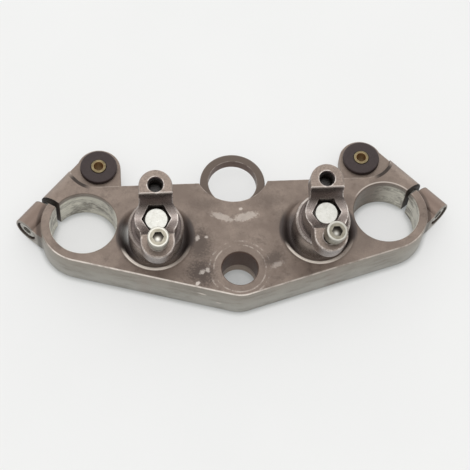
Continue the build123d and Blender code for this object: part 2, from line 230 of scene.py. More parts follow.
def makeGrimeAndShade(look):
    # dirt and painted shade where rays sent outwards are soon stopped, thicker and thinner with noise
    tree, given, made = newGroup("grimeAndShade", {"Place": "Vector", "Reach": "Float"}, ["Dirt"])
    shut = fade(tree, openness(tree, given["Reach"]), *look["grimeShut"])
    patchy = noise(tree, given["Place"], *look["grimeNoise"])
    plug(tree, times(tree, shut, fade(tree, patchy, *look["grimeThick"])), made["Dirt"])
    return tree


def makeMetalGrain(look):
    # wide blotches, fine specks and a height of both for the skin of a casting or a plated part
    inputs = {"Place": "Vector", "Grain": "Float"}
    tree, given, made = newGroup("metalGrain", inputs, ["Blotch", "Speck", "Height"])
    wide = noise(tree, given["Place"], *look["blotchNoise"])
    speck = noise(tree, given["Place"], given["Grain"], *look["speckDetail"])
    plug(tree, fade(tree, wide, *look["blotchFade"]), made["Blotch"])
    plug(tree, fade(tree, speck, *look["speckFade"]), made["Speck"])
    plug(tree, calc(tree, "MULTIPLY_ADD", wide, look["blotchHeight"], speck), made["Height"])
    return tree


def makePatchMark(look):
    # a ragged mark: an oval at centre, turned about Z, whose edge noise pulls in and out
    inputs = {"Place": "Vector", "Centre": "Vector", "Half": "Vector", "Turn": "Float",
              "Ragged": "Float", "Soft": "Float"}
    tree, given, made = newGroup("patchMark", inputs, ["Mark"])
    offset = vectorCalc(tree, "SUBTRACT", given["Place"], given["Centre"])
    turned = addNode(tree, "ShaderNodeVectorRotate", {"Vector": offset, "Angle": given["Turn"]},
                     rotation_type="Z_AXIS")
    share = vectorCalc(tree, "DIVIDE", turned.outputs[0], given["Half"])
    reach = addNode(tree, "ShaderNodeVectorMath", {0: share}, operation="LENGTH").outputs["Value"]
    pull = less(tree, noise(tree, given["Place"], *look["markNoise"]), look["markMiddle"])
    edge = calc(tree, "MULTIPLY_ADD", pull, given["Ragged"], reach)
    outside = calc(tree, "ADD", 1.0, given["Soft"])
    plug(tree, fade(tree, edge, outside, less(tree, 1.0, given["Soft"])), made["Mark"])
    return tree


edgeWear = makeEdgeWear(effects)
grimeAndShade = makeGrimeAndShade(effects)
metalGrain = makeMetalGrain(effects)
patchMark = makePatchMark(effects)
print("shared effects made")


def patches(tree, place, level, marks):
    # the strongest of several patch marks
    strongest = 0.0
    for x, y, long, wide, turn, ragged, soft, strength in marks:
        inputs = {"Place": place, "Centre": (x, y, level), "Half": (long, wide, long), "Turn": -turn,
                  "Ragged": ragged, "Soft": soft}
        mark = times(tree, useGroup(tree, patchMark, inputs)["Mark"], strength)
        strongest = most(tree, mark, strongest)
    return strongest


# yoke: bronze-grey paint on cast aluminium, the upright walls painted grey as a reflection of the floor,
# bare in the fork bores

yokePaint = {
    "grain": 1.1, "roughness": 0.38, "metallic": 0.45, "speckRoughness": 0.12, "bump": 0.3,
    "wall": 6.0, "topSkin": (0.8, 0.2), "seatEdge": (31.0, 29.0),
    # paint, with painted shade on the lock ring's recessed top and the pinch bosses, and stains and painted
    # shade in the dark marks
    "paint": (0.268, 0.212, 0.176, 1), "paintDark": (0.18, 0.138, 0.114, 1), "speckShare": 0.3,
    "lockShade": (0.115, 0.087, 0.071, 1), "lockEdge": (6.8, 5.8), "lockDepth": (4.0, 6.0),
    "bossShade": (0.205, 0.15, 0.122, 1), "bossWall": (6.4, 7.4), "bossFront": (24.0, 16.0),
    "bossSide": (12.0, 18.0),
    "stainAndShade": (0.06, 0.043, 0.036, 1), "mottleNoise": (0.13, 6.0, 0.75),
    "mottleFade": (0.5, 0.72, 0.0, 0.45),
    # dark marks: stains and painted shade on the plate's top
    "darkMarks": (
        (-25.0, 18.0, 7.0, 11.0, 0.0, 2.6, 0.6, 0.72), (-25.0, -2.0, 8.0, 9.0, 0.3, 2.6, 0.6, 0.85),
        (22.0, 6.0, 7.0, 4.0, 0.5, 2.6, 0.6, 0.6), (-20.0, 47.0, 9.0, 4.0, 0.0, 2.6, 0.7, 0.3),
        (80.0, 17.0, 14.0, 9.0, 0.3, 1.6, 0.7, 0.35),
        (23.0, 49.0, 8.0, 5.0, 0.0, 2.6, 0.7, 0.35), (32.0, 28.0, 5.0, 12.0, 0.2, 2.6, 0.7, 0.35),
        (-30.0, 32.0, 5.0, 8.0, 0.0, 2.6, 0.7, 0.35), (70.0, 44.0, 9.0, 7.0, 0.0, 2.6, 0.7, 0.3),
    ),
    # upright walls to the rider's side, painted grey and paler downwards as a painted reflection of the
    # floor; their marks have z in the place of y
    "flankReflectHigh": (0.325, 0.294, 0.25, 1), "flankReflectLow": (0.41, 0.395, 0.36, 1), "flankFoot": 2.0,
    "flankUpright": (0.5, 0.2), "flankRider": (0.1, -0.2), "flankEnd": (52.0, 46.0),
    "flankStem": (0.9, 1.6), "flankRoughness": 0.42,
    "flankStreak": (0.21, 0.188, 0.155, 1), "streakStretch": (0.05, 0.05, 0.16),
    "streakNoise": (1.0, 5.0, 0.65), "streakFade": (0.42, 0.75, 0.0, 0.7),
    "wallMarks": (
        (-24.8, 17.5, 2.6, 0.9, -0.15, 2.0, 0.4, 0.6), (-13.8, 9.3, 1.9, 0.5, 0.1, 1.6, 0.4, 0.5),
    ),
    # dished seats in painted shade with a painted sheen, and their lips with painted shade beside them and
    # a painted highlight
    "dishFloorShade": (0.06, 0.047, 0.043, 1), "dishWallShade": (0.065, 0.052, 0.048, 1), "dishFoot": (20.5, 18.5),
    "dishRider": (0.3, 0.245, 0.21, 1), "dishPale": (8.0, 18.0), "dishSheen": (0.4, 0.4, 0.385, 1),
    "dishTurn": (5.0, 15.0), "dishSideRim": (0.0, 0.4), "dishRiderRim": (0.5, 2.0),
    "dishFront": (-16.0, -6.0), "dishMetallic": 0.3, "dishRoughness": 0.34,
    "sheenMarks": ((-71.0, 29.5, 3.2, 5.0, 0.0, 0.6, 0.7, 0.85),),     # in the left dish
    "shadeEdge": (26.2, 24.8, 0.0, 0.8), "shadeFront": (-16.0, -4.0), "shadeRider": (12.0, 2.0),
    "lip": (1.0, 0.92, 0.83, 1), "lipRing": (22.6, 0.7, 0.9), "lipRider": (7.0, 15.0),
    "lipDepth": (4.5, 3.0), "lipRight": (16.0, 2.0, 0.3, 1.0), "lipMetallic": 0.0,
    # bare metal, and a painted highlight on the right bore's far mouth
    "bare": (0.88, 0.8, 0.73, 1), "bareMetallic": 0.05, "bareHeight": -0.5,
    "edgeLine": (0.0, 0.45, 0.5), "edgeOutside": (-2.0, -1.3), "edgeNoise": (0.14, 4.0, 0.7),
    "edgeBroken": (0.3, 0.6, 0.3, 1.0), "edgeShare": (5.0, 20.0, 0.95, 0.55), "edgeEnd": (126.0, 118.0),
    "edgeFront": (0.0, -6.0),
    "scuffNoise": (0.16, 6.0, 0.8), "scuffShare": 0.27,
    "scuffs": (((5.05, 0.25, 0.4), (0.42, 0.62)), ((7.85, 0.35, 0.4), (0.47, 0.67))),     # ring, noise fade
    "wear": {"Reach": 0.0006, "Breakup": 0.25}, "wearShare": 0.3,
    "mouthRing": (0.9, 0.3, 0.3), "mouthFront": (10.0, 16.0), "mouthShare": 0.4,
    "paleMarks": (
        (-9.2, 37.4, 7.4, 2.3, -0.4, 2.2, 0.25, 0.26), (6.4, 37.2, 7.6, 3.0, 0.22, 2.0, 0.2, 0.28),
        (3.5, 42.9, 1.2, 1.0, 0.0, 2.0, 0.4, 0.45), (24.0, 1.6, 3.8, 1.6, 0.4, 3.0, 0.5, 0.22),
        (-26.0, 22.6, 2.0, 1.2, 1.2, 3.0, 0.5, 0.4), (-20.2, 23.2, 1.0, 0.8, 0.0, 3.0, 0.5, 0.45),
        (-24.2, -1.6, 2.0, 1.4, 0.6, 3.2, 0.4, 0.4), (-20.6, -0.4, 1.2, 1.7, 0.0, 3.0, 0.4, 0.4),
        (-27.6, -9.6, 1.6, 1.1, 0.9, 3.0, 0.4, 0.6),
    ),
    # bores
    "bore": (0.74, 0.72, 0.63, 1), "boreWall": (0.35, 0.15), "boreRoughness": 0.34,
    "boreInner": (0.2, 0.16, 0.128, 1), "innerSide": (12.0, -8.0), "innerShare": (0.1, 1.0),
    "boreStain": (0.13, 0.115, 0.095, 1), "tarnishStretch": (0.5, 0.5, 1.0),
    "tarnishNoise": (0.16, 6.0, 0.75), "tarnishFade": (0.44, 0.64, 0.0, 0.8),
    "toolStretch": (0.02, 0.02, 1.0), "toolNoise": (1.6, 3.0, 0.7), "toolFade": (0.35, 0.75, 0.0, 0.35),
    "runInDepth": (4.4, 2.8), "runInFront": (6.0, 16.0), "runInShare": 0.8,
    "inside": (0.13, 0.076, 0.056, 1), "stemWall": (0.4, 0.2), "stemFoot": (0.5, 0.4, 0.33, 1),
    "stemStep": (8.0, 6.5), "stemToolFade": (0.4, 0.7, 0.0, 0.7),
    "lockWall": (0.5, 0.2), "lockRider": (0.0, -0.6), "lockShare": 0.9,
    # pinch bosses: end faces painted grey as a reflection, painted shade in the bolt's counterbore and the
    # slot
    "pinchTurn": 48.0, "pinchOut": 29.6, "pinchLevel": 13.0,      # turn and skew in degrees
    "bossEndReflection": (0.3, 0.275, 0.245, 1), "bossEndFace": (-22.3, -22.9), "bossEndEdge": (9.2, 8.8),
    "boltHoleWall": (7.7, 7.5), "boltHoleDepth": (-12.0, -14.0), "boltHoleShare": 0.6,
    "slotStart": 15.5, "slotSkew": 7.0, "slotRing": (0.0, 1.85, 0.3), "slotFade": (19.0, 26.0, 0.0, 0.95),
    # dirt and painted shade
    "dirtAndShading": (0.03, 0.021, 0.017, 1), "dirtReach": 0.0038, "dirtShare": 0.85, "seatDirtShare": 0.05,
    "earRing": (20.0, 1.5, 0.5), "earTurn": (0.85, 0.2, 0.3), "earShare": 0.95,      # turn in radians
    "valleyRing": (7.9, 0.5, 1.6), "valleySide": (10.0, 16.0), "valleyFront": (22.0, 12.0),
    "valleyDepth": (0.5, 2.0), "valleyShare": 0.6,
}


def yokePlaces(tree, place, look):
    # how a point lies to the plate's top, to each bore's wall and to the nearer riser's seat
    x, y, z = split(tree, place)
    at = SimpleNamespace(place=place, x=x, y=y, z=z)
    at.faceY, at.faceZ = split(tree, tree.nodes.new("ShaderNodeTexCoord").outputs["Normal"])[1:]
    at.across = calc(tree, "ABSOLUTE", x)
    at.depth = less(tree, plateTop, z)
    at.onTop = fade(tree, at.depth, *look["topSkin"])
    at.forkSide, at.forkFront = less(tree, at.across, forkX), less(tree, y, forkY)
    at.forkWall = less(tree, away(tree, at.forkSide, at.forkFront), forkRadius)
    at.stemWall = less(tree, away(tree, x, y), stemRadius)
    at.lockWall = less(tree, away(tree, x, less(tree, y, mountPlace("lock_bore").y)), lockRadius)
    at.seatBack = less(tree, seatY, y)
    at.inSeat = fade(tree, away(tree, less(tree, at.across, riserX), at.seatBack), *look["seatEdge"])
    at.riserSide, riserForward = riserPlace(tree, place)[:2]
    at.lipAway = away(tree, at.riserSide, riserForward)
    return at


def plateOutline(tree, at, wall):
    # how far outside the plate's flanks, nose or fork rings a point is
    ringRadius = forkRadius + wall
    turn = atan2(forkY, forkX) - asin((ringRadius - noseRadius) / hypot(forkX, forkY))
    behind = calc(tree, "MULTIPLY_ADD", at.y, cos(turn), noseRadius)
    flank = less(tree, times(tree, at.across, sin(turn)), behind)
    onNose = times(tree, calc(tree, "LESS_THAN", at.across, noseRadius * sin(turn)),
                   calc(tree, "LESS_THAN", at.y, 0.0))
    onRing = calc(tree, "GREATER_THAN", at.across, forkX + ringRadius * sin(turn))
    outline = mixValue(tree, onNose, flank, less(tree, at.stemWall, noseRadius - stemRadius))
    return mixValue(tree, onRing, outline, less(tree, at.forkWall, wall))


def paintCoat(tree, at, grain, look):
    # blotched paint, with painted shade on the lock ring and the pinch bosses, and stains and painted shade
    # on the plate's top
    color = mixColor(tree, grain["Blotch"], look["paintDark"], look["paint"])
    color = mixColor(tree, times(tree, grain["Speck"], look["speckShare"]), color, look["paintDark"])
    onLock = times(tree, fade(tree, at.lockWall, *look["lockEdge"]),
                   fade(tree, at.depth, *look["lockDepth"]))
    color = mixColor(tree, onLock, color, look["lockShade"])
    onBoss = times(tree, fade(tree, at.forkWall, *look["bossWall"]),
                   fade(tree, at.forkFront, *look["bossFront"]), fade(tree, at.forkSide, *look["bossSide"]))
    color = mixColor(tree, onBoss, color, look["bossShade"])
    mottle = fade(tree, noise(tree, at.place, *look["mottleNoise"]), *look["mottleFade"])
    stainedAndShaded = most(tree, mottle, patches(tree, at.place, plateTop, look["darkMarks"]))
    return mixColor(tree, times(tree, stainedAndShaded, at.onTop), color, look["stainAndShade"])


def flankWalls(tree, at, color, look):
    # upright walls to the rider's side: painted grey as a reflection of the floor and paler towards it,
    # streaked along their length and scratched
    upright = times(tree, fade(tree, calc(tree, "ABSOLUTE", at.faceZ), *look["flankUpright"]),
                    fade(tree, at.faceY, *look["flankRider"]), fade(tree, at.y, *look["flankEnd"]),
                    fade(tree, at.stemWall, *look["flankStem"]))
    downward = fade(tree, at.z, plateTop, look["flankFoot"])
    # the grey wall colour, paler downwards, is a painted reflection of the floor
    flank = mixColor(tree, downward, look["flankReflectHigh"], look["flankReflectLow"])
    streakPlace = vectorCalc(tree, "MULTIPLY", at.place, look["streakStretch"])
    streaks = noise(tree, streakPlace, *look["streakNoise"])
    flank = mixColor(tree, fade(tree, streaks, *look["streakFade"]), flank, look["flankStreak"])
    scratches = patches(tree, join(tree, at.x, at.z, 0.0), 0.0, look["wallMarks"])
    color = mixColor(tree, upright, color, mixColor(tree, scratches, flank, look["bare"]))
    return color, mixValue(tree, upright, look["roughness"], look["flankRoughness"])


def dishedSeats(tree, at, color, rough, look):
    # seats in painted shade, less of it to the rider, with a painted sheen on the left; painted shade
    # beside the lips at the sides and a painted highlight on the lips to the rider
    riderSide = fade(tree, at.seatBack, *look["dishTurn"])
    rim = mixValue(tree, riderSide, fade(tree, at.depth, *look["dishSideRim"]),
                   fade(tree, at.depth, *look["dishRiderRim"]))
    dish = times(tree, at.inSeat, rim, fade(tree, at.seatBack, *look["dishFront"]))
    shade = times(tree, fade(tree, at.lipAway, *look["shadeEdge"]),
                  fade(tree, at.seatBack, *look["shadeFront"]),
                  fade(tree, at.seatBack, *look["shadeRider"]), at.inSeat)
    color = mixColor(tree, shade, color, look["dishWallShade"])
    onFloor = fade(tree, at.lipAway, *look["dishFoot"])
    dishShadeColor = mixColor(tree, onFloor, look["dishWallShade"], look["dishFloorShade"])
    dishShadeColor = mixColor(tree, fade(tree, at.seatBack, *look["dishPale"]), dishShadeColor, look["dishRider"])
    sheen = patches(tree, join(tree, at.x, at.y, 0.0), 0.0, look["sheenMarks"])
    color = mixColor(tree, dish, color, mixColor(tree, sheen, dishShadeColor, look["dishSheen"]))
    toRight = times(tree, at.riserSide, calc(tree, "SIGN", at.x))
    # painted highlight along the lip to the rider
    lip = times(tree, at.inSeat, band(tree, at.lipAway, *look["lipRing"]),
                fade(tree, at.seatBack, *look["lipRider"]), fade(tree, at.depth, *look["lipDepth"]),
                fade(tree, toRight, *look["lipRight"]))
    color = mixColor(tree, lip, color, look["lip"])
    return color, mixValue(tree, at.inSeat, rough, look["dishRoughness"]), dish, lip


def bareMetal(tree, at, look):
    # mask of the worn top edge, smears and chips, the stem washer's scuffs, and a painted highlight on the
    # right bore's far mouth
    outline = plateOutline(tree, at, look["wall"])
    line = times(tree, band(tree, calc(tree, "ADD", at.depth, outline), *look["edgeLine"]),
                 fade(tree, outline, *look["edgeOutside"]),
                 fade(tree, noise(tree, at.place, *look["edgeNoise"]), *look["edgeBroken"]),
                 fade(tree, at.x, *look["edgeShare"]), fade(tree, at.across, *look["edgeEnd"]),
                 fade(tree, at.forkFront, *look["edgeFront"]))
    bare = most(tree, line, times(tree, patches(tree, at.place, plateTop, look["paleMarks"]), at.onTop))
    for ring, broken in look["scuffs"]:
        patchy = fade(tree, noise(tree, at.place, *look["scuffNoise"]), *broken)
        scuff = times(tree, band(tree, at.stemWall, *ring), at.onTop, patchy, look["scuffShare"])
        bare = most(tree, bare, scuff)
    worn = useGroup(tree, edgeWear, {"Place": at.place, **look["wear"]})["Wear"]
    # painted highlight on the right bore's far mouth
    mouth = times(tree, band(tree, at.forkWall, *look["mouthRing"]), at.onTop,
                  fade(tree, at.forkFront, *look["mouthFront"]), fade(tree, at.x, 0.0, forkX),
                  look["mouthShare"])
    return most(tree, bare, times(tree, worn, look["wearShare"]), mouth)


def boreWalls(tree, at, color, rough, look):
    # fork bores: tool marks and stains, browner towards the middle, with paint run into the far mouth
    toolPlace = vectorCalc(tree, "MULTIPLY", at.place, look["toolStretch"])
    toolMarks = noise(tree, toolPlace, *look["toolNoise"])
    tarnishPlace = vectorCalc(tree, "MULTIPLY", at.place, look["tarnishStretch"])
    tarnish = noise(tree, tarnishPlace, *look["tarnishNoise"])
    inner = times(tree, fade(tree, at.forkSide, *look["innerSide"]),
                  fade(tree, at.x, -forkX, forkX, *look["innerShare"]))
    boreColor = mixColor(tree, inner, look["bore"], look["boreInner"])
    boreColor = mixColor(tree, fade(tree, tarnish, *look["tarnishFade"]), boreColor, look["boreStain"])
    boreColor = mixColor(tree, fade(tree, toolMarks, *look["toolFade"]), boreColor, look["boreStain"])
    runIn = times(tree, fade(tree, at.depth, *look["runInDepth"]),
                  fade(tree, at.forkFront, *look["runInFront"]), look["runInShare"])
    boreColor = mixColor(tree, runIn, boreColor, look["paintDark"])
    inBore = fade(tree, at.forkWall, *look["boreWall"])
    color = mixColor(tree, inBore, color, boreColor)
    rough = mixValue(tree, inBore, rough, look["boreRoughness"])
    # stem bore and the lock ring's far wall: brown inside, with a paler machined foot in the stem bore
    stemColor = mixColor(tree, fade(tree, at.z, *look["stemStep"]), look["inside"], look["stemFoot"])
    stemColor = mixColor(tree, fade(tree, toolMarks, *look["stemToolFade"]), stemColor, look["inside"])
    color = mixColor(tree, fade(tree, at.stemWall, *look["stemWall"]), color, stemColor)
    inLock = times(tree, fade(tree, at.lockWall, *look["lockWall"]),
                   fade(tree, at.faceY, *look["lockRider"]), look["lockShare"])
    return mixColor(tree, inLock, color, look["inside"]), rough


def pinchBosses(tree, at, color, look):
    # end faces painted grey as a reflection, and a mask of painted shade round the bolt's head and in the
    # slot
    turn = radians(look["pinchTurn"])
    beside = calc(tree, "MULTIPLY_ADD", at.forkSide, sin(turn), times(tree, at.forkFront, cos(turn)))
    onward = less(tree, times(tree, at.forkFront, sin(turn)), times(tree, at.forkSide, cos(turn)))
    boltAway = away(tree, less(tree, beside, look["pinchOut"]), less(tree, at.z, look["pinchLevel"]))
    atEnd = times(tree, fade(tree, onward, *look["bossEndFace"]),
                  fade(tree, boltAway, *look["bossEndEdge"]))
    boltHoleShade = times(tree, fade(tree, boltAway, *look["boltHoleWall"]),
                     fade(tree, onward, *look["boltHoleDepth"]), look["boltHoleShare"])
    fromStart = less(tree, beside, look["slotStart"])
    slotAway = calc(tree, "MULTIPLY_ADD", fromStart, tan(radians(look["slotSkew"])), onward)
    slotShade = times(tree, band(tree, slotAway, *look["slotRing"]), fade(tree, beside, *look["slotFade"]))
    return mixColor(tree, atEnd, color, look["bossEndReflection"]), most(tree, boltHoleShade, slotShade)


def yokeDirt(tree, at, look):
    # mask of dirt and painted shade in corners, a painted shadow with dirt along the step above the gauge
    # ears, and painted shade beside the fork rings
    gaugeX, gaugeY = mountPlace("right_gauge_bore")[:2]
    earSide, earBack = less(tree, at.across, gaugeX), less(tree, gaugeY, at.y)
    stepShadow = times(tree, band(tree, away(tree, earSide, earBack), *look["earRing"]),
                 band(tree, calc(tree, "ARCTAN2", earBack, earSide), *look["earTurn"]), look["earShare"])
    # painted shade in the groove beside the fork rings
    valley = times(tree, band(tree, at.forkWall, *look["valleyRing"]),
                   fade(tree, at.forkSide, *look["valleySide"]),
                   fade(tree, at.forkFront, *look["valleyFront"]),
                   fade(tree, at.depth, *look["valleyDepth"]), look["valleyShare"])
    corners = useGroup(tree, grimeAndShade, {"Place": at.place, "Reach": look["dirtReach"]})["Dirt"]
    corners = times(tree, corners, mixValue(tree, at.inSeat, look["dirtShare"], look["seatDirtShare"]))
    return most(tree, corners, stepShadow, valley)


def makeYokePaint(look):
    material, tree, shader, place = newMaterial("yokePaint")
    at = yokePlaces(tree, place, look)
    grain = useGroup(tree, metalGrain, {"Place": place, "Grain": look["grain"]})
    color = paintCoat(tree, at, grain, look)
    color, rough = flankWalls(tree, at, color, look)
    color, rough, dish, lip = dishedSeats(tree, at, color, rough, look)
    bare = bareMetal(tree, at, look)
    color = mixColor(tree, bare, color, look["bare"])
    color, rough = boreWalls(tree, at, color, rough, look)
    color, pinchDirt = pinchBosses(tree, at, color, look)
    dirtAndShading = most(tree, yokeDirt(tree, at, look), pinchDirt)
    plug(tree, mixColor(tree, dirtAndShading, color, look["dirtAndShading"]), shader["Base Color"])
    rough = calc(tree, "MULTIPLY_ADD", grain["Speck"], look["speckRoughness"], rough)
    plug(tree, rough, shader["Roughness"])
    metallic = mixValue(tree, dish, look["metallic"], look["dishMetallic"])
    metallic = mixValue(tree, bare, metallic, look["bareMetallic"])
    plug(tree, mixValue(tree, lip, metallic, look["lipMetallic"]), shader["Metallic"])
    height = calc(tree, "MULTIPLY_ADD", bare, look["bareHeight"], grain["Height"])
    addBump(tree, shader, height, look["bump"])
    return material


# risers: darker and glossier, rubbed bright on the saddle's cheeks and matt on the ears

riserFinish = {
    "grain": 1.3, "roughness": 0.24, "metallic": 0.76, "speckRoughness": 0.12, "bump": 0.3,
    "body": (0.33, 0.272, 0.243, 1), "dark": (0.155, 0.126, 0.113, 1), "speckShare": 0.25,
    "rubNoise": (0.4, 5.0, 0.75), "rubFade": (0.42, 0.66, 0.05, 0.85),
    "worn": (0.85, 0.78, 0.73, 1), "wornMetallic": 0.3,
    "wear": {"Reach": 0.001, "Breakup": 0.3}, "wearShare": 0.85,
    # saddle: its cheeks, its far wall in painted shade and the brow above with a painted highlight
    "saddle": (0.26, 0.22, 0.205, 1), "barLevel": 61.8, "saddleRing": (12.7, 0.15, 0.3),
    "saddleSpeck": (0.2, 0.8, 0.4, 0.8), "cheek": (0.36, 0.315, 0.293, 1), "cheekSide": (6.0, 12.0),
    "cheekBand": (3.0, 2.0, 3.5), "cheekDull": 0.5, "shadeTone": (0.05, 0.038, 0.036, 1), "farWallShade": (6.0, 10.0),
    "farWallShare": 0.5, "browEdge": (12.9, 0.5, 0.3), "browLevel": (59.2, 60.2), "browShare": 0.45,
    # pillar: the painted highlight on its shoulder, brighter on the right riser, painted light on the
    # rider's side and painted shade round the neck
    "shoulder": (31.0, 0.6, 0.8), "shoulderRub": (0.0, 0.8, 0.25, 0.6), "shoulderShare": (0.3, 1.0),
    "paleSide": (-6.0, -14.0), "paleLevel": (30.0, 26.0), "paleShare": 0.45,
    "neckFoot": (32.0, 32.4), "neckTop": (36.0, 33.5), "neckShare": 0.75,
    # ears, the painted highlight on the rear one's rim, and the empty hole in the front one, painted light
    # at its mouth and painted shade deeper down
    "ear": (0.275, 0.222, 0.188, 1), "earBand": (earLevel, 0.2, 0.4), "earSpeck": (0.3, 0.8, 0.0, 0.45),
    "earRoughness": 0.44, "earBack": 17.4, "rimRing": (10.0, 0.35, 0.35), "rimLevel": (58.5, 60.0),
    "rimRear": (-12.0, -16.0), "rimRub": (0.0, 0.6, 0.1, 0.55),
    "hole": (0.6, 0.48, 0.47, 1), "holeWall": (5.3, 5.1), "holeTop": (earLevel, 60.7),
    "holeFloor": (47.5, 48.5), "holeDeep": (60.6, 56.8),
    "dirtAndShading": (0.02, 0.016, 0.014, 1), "dirtReach": 0.004, "dirtLevel": (6.0, 16.0, 0.1, 0.85),
}


def makeRiserFinish(look):
    material, tree, shader, place = newMaterial("riserFinish")
    side, forward, level = riserPlace(tree, place)
    grain = useGroup(tree, metalGrain, {"Place": place, "Grain": look["grain"]})
    rubbed = fade(tree, noise(tree, place, *look["rubNoise"]), *look["rubFade"])
    color = mixColor(tree, grain["Blotch"], look["dark"], look["body"])
    color = mixColor(tree, times(tree, grain["Speck"], look["speckShare"]), color, look["dark"])

    # saddle: speckled, rubbed on its cheeks and in painted shade up the far wall
    saddle = band(tree, away(tree, forward, less(tree, level, look["barLevel"])), *look["saddleRing"])
    speckled = times(tree, saddle, fade(tree, grain["Speck"], *look["saddleSpeck"]))
    color = mixColor(tree, speckled, color, look["saddle"])
    cheek = times(tree, saddle, fade(tree, calc(tree, "ABSOLUTE", side), *look["cheekSide"]),
                  band(tree, forward, *look["cheekBand"]), rubbed)
    color = mixColor(tree, cheek, color, look["cheek"])
    farWallShade = times(tree, saddle, fade(tree, forward, *look["farWallShade"]), look["farWallShare"])
    color = mixColor(tree, farWallShade, color, look["shadeTone"])

    # pillar: painted highlight on the shoulder, painted light to the rider and painted shade round the neck
    shoulder = times(tree, band(tree, level, *look["shoulder"]), fade(tree, rubbed, *look["shoulderRub"]),
                     fade(tree, split(tree, place)[0], -riserX, riserX, *look["shoulderShare"]))
    color = mixColor(tree, shoulder, color, look["worn"])
    riderSideLight = times(tree, fade(tree, forward, *look["paleSide"]), fade(tree, level, *look["paleLevel"]),
                 look["paleShare"])
    color = mixColor(tree, riderSideLight, color, look["worn"])
    neckShade = times(tree, fade(tree, level, *look["neckFoot"]), fade(tree, level, *look["neckTop"]),
                 look["neckShare"])
    color = mixColor(tree, neckShade, color, look["shadeTone"])

    # ears, with painted highlights on the brow's edge and the rear ear's rim
    ear = band(tree, level, *look["earBand"])
    earColor = mixColor(tree, fade(tree, grain["Speck"], *look["earSpeck"]), look["ear"], look["dark"])
    color = mixColor(tree, ear, color, earColor)
    browHighlight = times(tree, band(tree, forward, *look["browEdge"]), fade(tree, level, *look["browLevel"]),
                 look["browShare"])
    rearAway = away(tree, side, calc(tree, "ADD", forward, look["earBack"]))
    rearRimHighlight = times(tree, band(tree, rearAway, *look["rimRing"]), fade(tree, level, *look["rimLevel"]),
                    fade(tree, forward, *look["rimRear"]), fade(tree, rubbed, *look["rimRub"]))
    color = mixColor(tree, most(tree, rearRimHighlight, browHighlight), color, look["worn"])

    # worn edges, dirt and painted shade in corners, and the hole painted light at its mouth and painted
    # shade downwards
    worn = useGroup(tree, edgeWear, {"Place": place, **look["wear"]})["Wear"]
    worn = times(tree, worn, look["wearShare"])
    color = mixColor(tree, worn, color, look["worn"])
    dirtAndShading = times(tree, useGroup(tree, grimeAndShade, {"Place": place, "Reach": look["dirtReach"]})["Dirt"],
                 fade(tree, level, *look["dirtLevel"]))
    color = mixColor(tree, dirtAndShading, color, look["dirtAndShading"])
    # the hole's wall is painted light near its mouth and painted shade deeper down
    holeAway = away(tree, side, less(tree, forward, barHoleOut))
    inHole = times(tree, fade(tree, holeAway, *look["holeWall"]), fade(tree, level, *look["holeTop"]),
                   fade(tree, level, *look["holeFloor"]))
    holeShading = mixColor(tree, fade(tree, level, *look["holeDeep"]), look["hole"], look["dirtAndShading"])
    plug(tree, mixColor(tree, inHole, color, holeShading), shader["Base Color"])
    rough = mixValue(tree, ear, look["roughness"], look["earRoughness"])
    rough = calc(tree, "MULTIPLY_ADD", grain["Speck"], look["speckRoughness"], rough)
    plug(tree, rough, shader["Roughness"])
    dull = most(tree, worn, inHole, shoulder, times(tree, cheek, look["cheekDull"]))
    plug(tree, mixValue(tree, dull, look["metallic"], look["wornMetallic"]), shader["Metallic"])
    addBump(tree, shader, grain["Height"], look["bump"])
    return material


# plated fasteners, rubber and brass share one recipe with their own values

fastenerLooks = {
    "bolt_zinc": {
        "clean": (0.44, 0.436, 0.41, 1), "dull": (0.38, 0.375, 0.345, 1), "dirtAndShading": (0.06, 0.054, 0.048, 1),
        "metallic": 1.0, "roughness": 0.26, "grain": 1.6, "dirtReach": 0.003, "bump": 0.12},
    "screw_zinc": {
        "clean": (0.3, 0.279, 0.228, 1), "dull": (0.2, 0.185, 0.147, 1), "dirtAndShading": (0.09, 0.08, 0.068, 1),
        "metallic": 0.9, "roughness": 0.28, "grain": 1.6, "dirtReach": 0.003, "bump": 0.15},
    "pinch_zinc": {
        "clean": (0.55, 0.54, 0.5, 1), "dull": (0.36, 0.345, 0.31, 1), "dirtAndShading": (0.06, 0.053, 0.046, 1),
        "metallic": 0.8, "roughness": 0.32, "grain": 1.6, "dirtReach": 0.0025, "bump": 0.15},
    "grommet_rubber": {
        "clean": (0.025, 0.013, 0.013, 1), "dull": (0.031, 0.018, 0.017, 1),
        "dirtAndShading": (0.018, 0.012, 0.012, 1),
        "metallic": 0.0, "roughness": 0.55, "grain": 2.4, "dirtReach": 0.004, "bump": 0.3},
    # its dirt colour is lighter than the brass: painted light inside the sleeve's bore
    "sleeve_brass": {
        "clean": (0.29, 0.235, 0.135, 1), "dull": (0.165, 0.13, 0.072, 1), "dirtAndShading": (0.5, 0.33, 0.16, 1),
        "metallic": 0.9, "roughness": 0.32, "grain": 2.0, "dirtReach": 0.004, "bump": 0.15},
}
fastenerSkin = {"mottleNoise": (0.35, 4.0, 0.65), "mottleFade": (0.35, 0.7), "speckRoughness": 0.14}
boltDetail = {"disc": (6.75, 7.05), "head": (39.0, 40.0), "shade": 0.8}
screwDetail = {
    "leftTop": 76.0, "rightTop": 73.6, "socket": (3.8, 3.6), "socketDepth": (0.2, 0.8),
    "glint": (2.8, 0.2), "glintSide": 0.3, "glintFront": -0.4,
    "rim": (5.75, 0.4, 0.5), "rimDepth": (1.2, 0.4), "rimShare": 0.75, "paintedHighlight": (0.6, 0.587, 0.54, 1),
}
sleeveDetail = {"bore": (3.6, 3.2)}


def boltShade(tree, place, look):
    # the hex below the head's round top lies in the shadow of its recess
    side, forward, level = riserPlace(tree, place)
    beyond = fade(tree, away(tree, side, forward), *look["disc"])
    return times(tree, beyond, fade(tree, level, *look["head"]), look["shade"])


